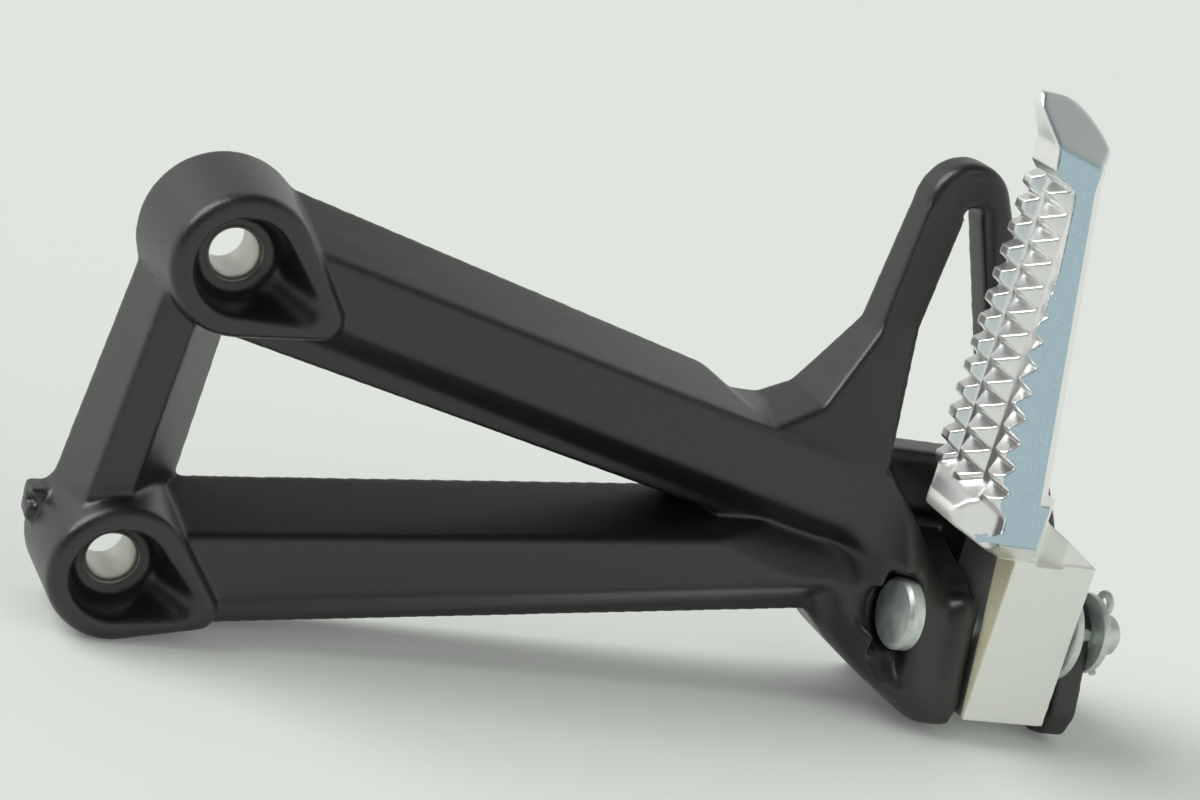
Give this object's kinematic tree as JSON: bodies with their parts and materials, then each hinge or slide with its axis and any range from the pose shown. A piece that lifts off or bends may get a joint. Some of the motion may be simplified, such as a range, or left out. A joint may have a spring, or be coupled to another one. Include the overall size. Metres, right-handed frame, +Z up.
{
  "type": "passenger footpeg",
  "caption": "Folding passenger footpeg: bare toothed peg hinged by a clevis pin on a black cast A-shaped bracket with a strap loop and bolt bosses.",
  "frame": {"origin": "centre of the lower mounting bore at the mounting face", "axes": "+X along the hinge pin from its head to its split pin, +Y through the bolts into the machine, +Z up along the folded peg"},
  "size_m": [0.2128, 0.043, 0.1252],
  "materials": {
    "bracket": "satin black powder coat on a casting",
    "footpeg": "bare, machined and lightly brushed",
    "hardware": "dull zinc plate"
  },
  "bodies": {
    "mount": {"bracket": "bracket", "clevis_pin": "hardware", "spring_washer": "hardware", "end_washer": "hardware", "split_pin": "hardware"},
    "peg": {"footpeg": "footpeg"}
  },
  "joints": [
    {"name": "peg_fold", "type": "hinge", "parent": "mount", "child": "peg", "pos_m": [0.173, -0.025, 0.01], "axis": [1, 0, 0], "range_deg": [0, 90]}
  ]
}
